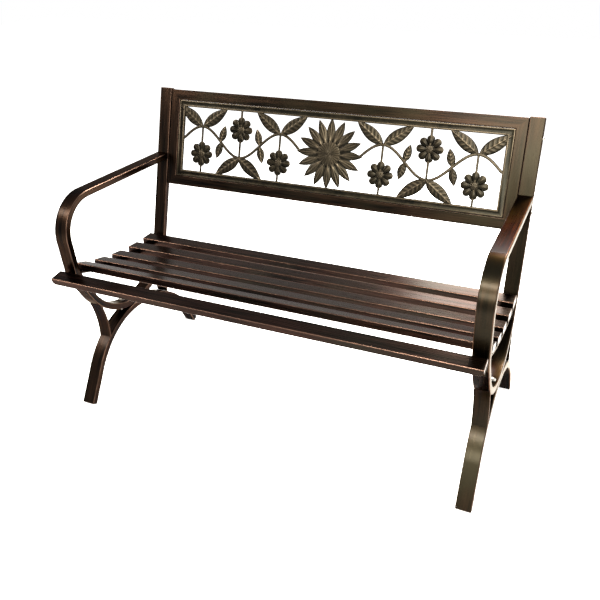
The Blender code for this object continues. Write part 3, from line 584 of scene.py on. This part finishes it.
# %% Leg arches and back posts
on_floor = (Vector((0.0, 0.0, 0.0)), Vector((0.0, 0.0, -1.0)))
post_mid = post_face[0] - TUBE_THICK / 2 * left_of(UP_POST)
tail_point, tail_heading = loop_path[-1]
tail_corner = meet(tail_point - TUBE_THICK / 2 * left_of(tail_heading), tail_heading,
                   (post_face[0] + FIT * left_of(UP_POST), UP_POST))
post_low = (tail_corner - post_face[0]).dot(direction(UP_POST)) - POST_TAIL
post_foot = post_mid + post_low * direction(UP_POST)
post_path = trace(post_foot, UP_POST, [(BACK_TOP + POST_RISE - post_low,)])
for side, sign in (("left", -1.0), ("right", 1.0)):
    bar(side + "_leg_tube", beside(arch_path, sign * SIDE_X), TUBE_WIDTH, TUBE_THICK, TUBE_CORNER,
        "frame_coat", (side + "_leg_arch",), ease=0.0025, ground=[on_floor])
    bar(side + "_post_tube", beside(post_path, sign * SIDE_X), TUBE_WIDTH, TUBE_THICK, TUBE_CORNER,
        "frame_coat", (side + "_back_post",), ease=0.0025)
print("post: %.1f mm long" % (1000 * (BACK_TOP + POST_RISE - post_low)))

# %% [markdown]
# Braces of flat bar keep the legs from folding: one from the loop to the front leg, one from the
# post's foot to the rear leg. Each is bent slightly and sawn to the two surfaces that it joins.

# %% Braces
BRACE_THICK, BRACE_CORNER, BRACE_EASE, BRACE_SPARE = 0.005, 0.0011, 0.0005, 0.012
FRONT_BOW, REAR_BOW = 0.007, -0.002


def brace(name, x, top, top_normal, foot, foot_normal, bow, stands_for):
    """The normals point out of the surfaces that the brace joins."""
    chord = foot - top
    bend = math.copysign(4.0 * math.atan(2.0 * abs(bow) / chord.length), -bow)
    heading = math.atan2(chord.y, chord.x) - bend / 2
    path = trace(top - BRACE_SPARE * direction(heading), heading,
                 [(BRACE_SPARE,), (chord.length / 2 / math.sin(abs(bend) / 2), bend), (BRACE_SPARE,)])
    joined = ((top, top_normal), (foot, foot_normal))
    cuts = [(in_space(p + FIT * direction(n)), -turned_out(n)) for p, n in joined]
    bar(name, beside(path, x), TUBE_WIDTH, BRACE_THICK, BRACE_CORNER, "frame_coat", stands_for, cuts,
        BRACE_EASE)


loop_centre = loop_low + Vector((0.0, LOWER_BEND_R))
arch_base = Vector((arch_y, arch_z))
normals = math.radians(-135.0), math.radians(127.5), math.radians(62.0)
loop_spot = loop_centre + (LOWER_BEND_R + TUBE_THICK / 2) * direction(normals[0])
front_spot, rear_spot = [arch_base - Vector((0.0, r)) + (r + TUBE_THICK / 2) * direction(n)
                         for r, n in ((ARCH_FRONT_R, normals[1]), (ARCH_REAR_R, normals[2]))]
post_spot = post_foot - (TUBE_THICK - BRACE_THICK) / 2 * left_of(UP_POST)
for side, sign in (("left", -1.0), ("right", 1.0)):
    brace(side + "_front_brace_bar", sign * SIDE_X, loop_spot, normals[0], front_spot, normals[1],
          FRONT_BOW, (side + "_front_brace",))
    brace(side + "_rear_brace_bar", sign * SIDE_X, post_spot, UP_POST + math.pi, rear_spot, normals[2],
          REAR_BOW, (side + "_rear_brace",))
print("front brace: %.1f mm" % ((front_spot - loop_spot).length * 1000))

# %% [markdown]
# The slats are rectangular tubes laid across the hollow of the seat. Each takes its place and tilt
# from its solid. The front slat's lower end corners are sawn off, so they don't catch clothes.

# %% Slats
SLAT_CORNER, SLAT_EASE, SAWN_CORNER = 0.0024, 0.0009, 0.009


def slat_place(name):
    """Middle, up and rearward directions, and sizes of a slat, measured on its solid."""
    mesh = nodes[name].data
    up = max(mesh.polygons, key=lambda p: p.area if p.normal.z > 0.7 else 0.0).normal.copy()
    deep = up.cross(ACROSS)
    spans = [[v.co.dot(axis) for v in mesh.vertices] for axis in (ACROSS, deep, up)]
    sizes = [max(s) - min(s) for s in spans]
    middle = sum((axis * (max(s) + min(s)) / 2 for axis, s in zip((ACROSS, deep, up), spans)), Vector())
    return middle, up, deep, sizes


for name in ["front_slat"] + ["seat_slat_%d" % i for i in range(1, 6)]:
    middle, up, deep, (long, wide, thick) = slat_place(name)
    ends = [station(middle + ACROSS * s * long / 2, ACROSS, deep) for s in (-1.0, 1.0)]
    cuts = []
    if name == "front_slat":
        for sign in (-1.0, 1.0):
            corner = middle + sign * long / 2 * ACROSS + (SAWN_CORNER - thick / 2) * up
            cuts.append((corner, (sign * ACROSS - up).normalized()))
    bar(name + "_tube", ends, wide, thick, SLAT_CORNER, "slat_coat", (name,), cuts, SLAT_EASE)
    print("%s: %.0f x %.1f x %.1f mm" % (name, long * 1000, wide * 1000, thick * 1000))

# %% [markdown]
# The back frame is welded from four lengths of rectangular tube and ground smooth, so no joint line
# shows. It is made from one face: inset by the tube's width, the middle taken out, pushed to its
# thickness, and every edge bevelled. Four separate bars would show a seam in each corner.

# %% Back frame
RAIL_CORNER = 0.0024
back_place = Matrix.Translation(in_space(post_face[0])) @ Matrix(
    (ACROSS, turned_out(UP_POST), turned_out(UP_POST + math.pi / 2))).transposed().to_4x4()
half_wide = SIDE_X - TUBE_WIDTH / 2 - FIT
back_middle = BACK_TOP - BACK_HEIGHT / 2


def chart_ring(shape, faces, half_long, half_high):
    """The map runs along whichever of the four bars a face belongs to."""
    along = shape.loops.layers.uv["along"]
    for face in faces:
        spot = face.calc_center_median()
        level_bar = half_high - abs(spot.y) < half_long - abs(spot.x)
        for loop in face.loops:
            x, y, z = loop.vert.co
            loop[along].uv = (x + spot.y, y + z) if level_bar else (y + 3.0 + spot.x, x + z)


shape = new_shape()
bmesh.ops.create_grid(shape, x_segments=1, y_segments=1, size=0.5)
bmesh.ops.scale(shape, vec=(2 * half_wide, BACK_HEIGHT, 1.0), verts=shape.verts)
inner = shape.faces[:]
bmesh.ops.inset_region(shape, faces=inner, thickness=RAIL_WIDTH, use_boundary=True, use_even_offset=True)
bmesh.ops.delete(shape, geom=inner, context="FACES_ONLY")
raised = bmesh.ops.extrude_face_region(shape, geom=shape.faces[:])["geom"]
lifted = [g for g in raised if isinstance(g, bmesh.types.BMVert)]
bmesh.ops.translate(shape, vec=(0.0, 0.0, RAIL_THICK), verts=lifted)
bmesh.ops.recalc_face_normals(shape, faces=shape.faces)
square = [e for e in shape.edges if e.calc_face_angle(0.0) > 1.0]
bmesh.ops.bevel(shape, geom=square, offset=RAIL_CORNER, segments=3, profile=0.5, affect="EDGES",
                material=-1)
chart_ring(shape, shape.faces, half_wide, BACK_HEIGHT / 2)
bmesh.ops.translate(shape, vec=(0.0, back_middle, -(RAIL_SETBACK + RAIL_THICK)), verts=shape.verts)
bmesh.ops.transform(shape, matrix=back_place, verts=shape.verts)
finish("back_frame_tube", shape, "frame_coat",
       ("back_top_rail", "back_bottom_rail", "left_back_stile", "right_back_stile"))
print("back frame: %.0f x %.0f mm" % (2000 * half_wide, 1000 * BACK_HEIGHT))

# %% [markdown]
# The panel is an openwork casting with a flower in the middle, and a waving stem, blossoms and leaves
# on both sides. It is one piece of metal, so all of it goes into one mesh. First comes its border: a
# face inset eight times, up and down, which gives the flat band, the groove and the bead of a cast rim.

# %% Casting's border
PANEL_BORDER, PANEL_THICK, PANEL_SETBACK = 0.020, 0.007, 0.003
panel_long = half_wide - RAIL_WIDTH - FIT
panel_high = BACK_HEIGHT / 2 - RAIL_WIDTH - FIT
open_long, open_high = panel_long - PANEL_BORDER, panel_high - PANEL_BORDER
FACE = PANEL_THICK / 2
casting = new_shape()
# On the casting the "edge" layer marks raised crests, ribs, beads and seeds, painted pale: rubbed bronze and
# painted highlight together.
worn_and_highlit = casting.verts.layers.float["edge"]
made = bmesh.ops.create_grid(casting, x_segments=1, y_segments=1, size=0.5)["verts"]
bmesh.ops.scale(casting, vec=(2 * panel_long, 2 * panel_high, 1.0), verts=made)
bmesh.ops.translate(casting, vec=(0.0, 0.0, FACE - 0.001), verts=made)
middle_face = casting.faces[:]
# The last number of each step is how pale that ring of the rim is painted: rubbed bead and painted
# highlight.
steps = [(0.0010, 0.0010, 0.9), (0.0035, 0.0, 0.3), (0.0015, -0.0013, 0.0), (0.0080, 0.0, 0.0),
         (0.0015, 0.0011, 0.7), (0.0018, 0.0002, 1.0), (0.0015, -0.0006, 0.5), (0.0012, -0.0014, 0.1)]
for across, up, rub_and_highlight in steps:
    bmesh.ops.inset_region(casting, faces=middle_face, thickness=across, depth=up, use_boundary=True,
                           use_even_offset=True)
    for vert in middle_face[0].verts:
        vert[worn_and_highlit] = rub_and_highlight
bmesh.ops.delete(casting, geom=middle_face, context="FACES_ONLY")
sides = bmesh.ops.extrude_edge_only(casting, edges=[e for e in casting.edges if e.is_boundary])["geom"]
for vert in [g for g in sides if isinstance(g, bmesh.types.BMVert)]:
    vert.co.z = -FACE
    vert[worn_and_highlit] = 0.2
bmesh.ops.bridge_loops(casting, edges=[e for e in casting.edges if e.is_boundary])
print("border: %.0f x %.0f mm, %d faces" % (2000 * panel_long, 2000 * panel_high, len(casting.faces)))

# %% [markdown]
# A caster's pattern has crowned leaves with a midrib and slanting veins. A leaf starts as a flat
# grid. Its points are moved out to the leaf's outline and up to its crown, its rim is pushed back,
# and the back is closed. A height map could fake the veins, but real ones catch light from all sides.

# %% Leaves
PETALS, PETAL_START, PETAL_LONG, PETAL_WIDE = 16, 0.030, 0.0765, 0.0270
CROWN_HIGH, RIB_HIGH, VEIN_HIGH, RIB_WIDE = 0.0011, 0.0010, 0.0006, 0.0013


def close_back(verts, depth):
    """Pushes the open rim of a shaped skin back to a flat, closed rear face."""
    rim = list({e for v in verts for e in v.link_edges if e.is_boundary})
    grown = bmesh.ops.extrude_edge_only(casting, edges=rim)["geom"]
    for vert in [g for g in grown if isinstance(g, bmesh.types.BMVert)]:
        vert.co.z = -depth
        vert[worn_and_highlit] = 0.1
    rear_rim = [g for g in grown if isinstance(g, bmesh.types.BMEdge) and g.is_boundary]
    bmesh.ops.edgeloop_fill(casting, edges=rear_rim)


def leaf(base, heading, long, wide, veins):
    verts = bmesh.ops.create_grid(casting, x_segments=40, y_segments=16, size=0.5)["verts"]
    ahead, across = direction(heading), left_of(heading)
    for vert in verts:
        t, w = vert.co.x + 0.5, 2.0 * vert.co.y
        half = wide / 2 * math.sin(math.pi * min(max(t, 0.004), 0.996) ** 0.85) ** 0.8
        crown = math.sqrt(max(0.0, 1.0 - w * w))
        rib = math.exp(-(w * half / RIB_WIDE) ** 2)
        vein = (0.5 + 0.5 * math.cos(2 * math.pi * (t * veins - 0.9 * abs(w)))) ** 3 * crown
        spot = base + ahead * (t * long) + across * (w * half)
        vert.co = (spot.x, spot.y, FACE * 0.35 + CROWN_HIGH * crown + RIB_HIGH * rib + VEIN_HIGH * vein)
        # Rib, veins and crown are painted pale: rubbed bronze and painted highlight.
        vert[worn_and_highlit] = min(1.0, 0.7 * rib + 0.55 * vein + 0.2 * crown)
    close_back(verts, FACE * 0.75)


leaf(Vector((PETAL_START, 0.0)), 0.0, PETAL_LONG, PETAL_WIDE, 1)
print("first petal: %d vertices so far" % len(casting.verts))

# %% [markdown]
# A blossom is turned: one line of points from the middle to the rim, spun full circle. Then the rim is
# drawn in between the petals, each petal is hollowed like a spoon, and the heart is left as a boss
# with seeds.

# %% Blossoms


def blossom(centre, radius, petals, notch, boss, seeds):
    known = set(casting.verts)
    line = [casting.verts.new((radius * i / 22, 0.0, 0.0)) for i in range(23)]
    edges = [casting.edges.new(pair) for pair in zip(line, line[1:])]
    bmesh.ops.spin(casting, geom=line + edges, cent=(0, 0, 0), axis=(0, 0, 1), angle=2 * math.pi,
                   steps=petals * 12, use_merge=True)
    verts = [v for v in casting.verts if v not in known]
    bmesh.ops.remove_doubles(casting, verts=verts, dist=1e-6)
    verts = [v for v in casting.verts if v not in known]
    for vert in verts:
        far, angle = vert.co.xy.length, math.atan2(vert.co.y, vert.co.x)
        lobe = abs(math.cos(angle * petals / 2))
        if far < boss:
            dots = max(0.0, math.cos(seeds * angle + far * 900.0) * math.cos(seeds * angle - far * 900.0))
            up = FACE * 0.55 + 0.0018 * math.sqrt(1.0 - (far / boss) ** 2) + 0.0005 * dots
            # The seeds are painted pale: rubbed bronze and painted highlight.
            vert[worn_and_highlit] = 0.3 + 0.6 * dots
        else:
            t = (far - boss) / (radius - boss)
            cup = math.sin(math.pi * min(1.0, t)) * lobe
            ray = 0.5 + 0.5 * math.cos(angle * petals * 3)
            up = FACE * 0.45 + 0.0012 * cup - 0.0011 * math.exp(-(lobe / 0.25) ** 2) + 0.0003 * ray * cup
            # Petal ridges and tips are painted pale: rubbed bronze and painted highlight.
            vert[worn_and_highlit] = 0.5 * cup * ray + 0.5 * max(0.0, t - 0.8) * 5.0 * lobe
        drawn = 1.0 - notch * (1.0 - lobe ** 0.55) * max(0.0, far - boss) / (radius - boss)
        vert.co = (centre.x + vert.co.x * drawn, centre.y + vert.co.y * drawn, up)
    close_back(verts, FACE * 0.85)


HEART_R = 0.041
for i in range(1, PETALS):
    turn = 2 * math.pi * i / PETALS
    leaf(PETAL_START * direction(turn), turn, PETAL_LONG, PETAL_WIDE, 1)
blossom(Vector((0.0, 0.0)), HEART_R, PETALS, 0.04, HEART_R * 0.90, 12)
print("central flower: %d petals, %d vertices so far" % (PETALS, len(casting.verts)))

# %% [markdown]
# The stem is a round rod that waves from the flower to the border. At each crest a blossom hangs on a
# stalk between two leaves, and where the stem crosses the middle a small leaf stands on each side.

# %% Stems and the rest of the pattern
STEM_WIDTH, STEM_WAVE, LOBES, JOIN, SPREAD = 0.009, 0.044, 3, 0.003, 0.0015
LEAN, DROP_LEAN, STEM_STEPS = math.radians(54.0), math.radians(14.0), 90
BLOSSOM_R, BLOSSOM_PETALS, BLOSSOM_NOTCH, BLOSSOM_CLEAR = 0.040, 8, 0.26, 0.018
PETAL_REACH, LEAF_WIDE, SMALL_LONG, SMALL_WIDE = 0.1065, 0.038, 0.052, 0.025
stem_start = PETAL_REACH - STEM_WIDTH
wave_long = (open_long - stem_start) / LOBES


def rod(points, wide, high):
    stations = []
    for i, point in enumerate(points):
        ahead = (points[min(i + 1, len(points) - 1)] - points[max(i - 1, 0)]).normalized()
        stations.append(station(point.to_3d(), ahead.to_3d(), Vector((-ahead.y, ahead.x, 0.0))))
    known = set(casting.verts)
    draw_bar(casting, stations, wide, high, min(wide, high) * 0.45)
    for vert in set(casting.verts) - known:
        # The rod's crest is painted pale: rubbed bronze and painted highlight.
        vert[worn_and_highlit] = max(0.0, vert.co.z / (high / 2)) ** 6 * 0.6


for sign in (-1.0, 1.0):
    def on_stem(t):
        return Vector((sign * (stem_start + wave_long * t), STEM_WAVE * math.sin(math.pi * t)))

    def mirrored(heading):
        return heading if sign > 0 else math.pi - heading

    points = [on_stem(LOBES * i / STEM_STEPS) for i in range(STEM_STEPS + 1)]
    points[-1].x = sign * (open_long + JOIN)
    rod(points, STEM_WIDTH, PANEL_THICK * 0.80)
    for lobe in range(LOBES):
        up = 1.0 if lobe % 2 == 0 else -1.0
        crest = on_stem(lobe + 0.5)
        heart = Vector((crest.x, -up * (open_high - BLOSSOM_R - BLOSSOM_CLEAR)))
        rod([crest, Vector((crest.x, -up * (open_high + JOIN)))], STEM_WIDTH * 0.8, PANEL_THICK * 0.66)
        blossom(heart, BLOSSOM_R, BLOSSOM_PETALS, BLOSSOM_NOTCH, BLOSSOM_R * 0.30, 5)
        for lean in (-1.0, 1.0):
            base = crest + Vector((-sign * lean * up * SPREAD, 0.0))
            leaf(base, mirrored(up * (math.pi / 2 + lean * LEAN)),
                 (open_high + JOIN - STEM_WAVE) / math.cos(LEAN), LEAF_WIDE, 7)
    for cross in range(1, LOBES):
        up = 1.0 if cross % 2 else -1.0
        for way in (1.0, -1.0):
            leaf(on_stem(cross) + Vector((0.0, way * SPREAD)),
                 mirrored(way * math.pi / 2 - up * DROP_LEAN), SMALL_LONG, SMALL_WIDE, 5)

chart_ring(casting, casting.faces, panel_long, panel_high)
bmesh.ops.translate(casting, vec=(0.0, back_middle, -(RAIL_SETBACK + PANEL_SETBACK + FACE)),
                    verts=casting.verts)
bmesh.ops.transform(casting, matrix=back_place, verts=casting.verts)
print("casting: %d faces" % len(casting.faces))
finish("cast_openwork", casting, "panel_coat", ("cast_panel",), mark=False, smooth=60.0)

# %% [markdown]
# Bolt heads are low domes of zinc-plated steel. Each is a half outline spun full circle, because a
# lathe turns the real one the same way. Its place comes from the solid bolt, so it stays in its hole.

# %% Bolts
FRAME_BOLT, LEG_BOLT = (0.0045, 0.0042, 0.003), (0.008, 0.005, 0.004)
LEG_BOLT_AHEAD = 0.039


def bolt(name, axis, head_r, head_h, shank_r):
    """The head's radius and height, and the shank's radius; returns the shank's length."""
    points = [v.co for v in nodes[name].data.vertices]
    crown = max(points, key=lambda p: p.dot(axis)).copy()
    long = crown.dot(axis) - min(p.dot(axis) for p in points) - head_h
    dome = [(head_r * math.sin(a), head_h * (0.30 + 0.70 * math.cos(a)))
            for a in [math.pi / 2 * i / 8 for i in range(9)]]
    outline = dome + [(head_r, 0.0003), (head_r - 0.0003, 0.0), (shank_r, 0.0), (shank_r, -long),
                      (0.0, -long)]
    shape = new_shape()
    line = [shape.verts.new((r, 0.0, z)) for r, z in outline]
    edges = [shape.edges.new(pair) for pair in zip(line, line[1:])]
    bmesh.ops.spin(shape, geom=line + edges, cent=(0, 0, 0), axis=(0, 0, 1), angle=2 * math.pi, steps=36,
                   use_merge=True)
    bmesh.ops.remove_doubles(shape, verts=shape.verts, dist=1e-6)
    turn = axis.to_track_quat("Z", "Y").to_matrix().to_4x4()
    bmesh.ops.transform(shape, matrix=Matrix.Translation(crown - head_h * axis) @ turn, verts=shape.verts)
    finish(name + "_turned", shape, "bolt_steel", (name,))
    return long


leg_axis = turned_out(math.pi / 2 - math.asin(LEG_BOLT_AHEAD / LOWER_BEND_R))
for side, sign in (("left", -1.0), ("right", 1.0)):
    for spot in ("upper", "lower"):
        bolt("%s_%s_frame_bolt" % (side, spot), sign * ACROSS, *FRAME_BOLT)
    shank = bolt(side + "_leg_bolt", leg_axis, *LEG_BOLT)
print("leg bolt's shank: %.1f mm" % (shank * 1000))
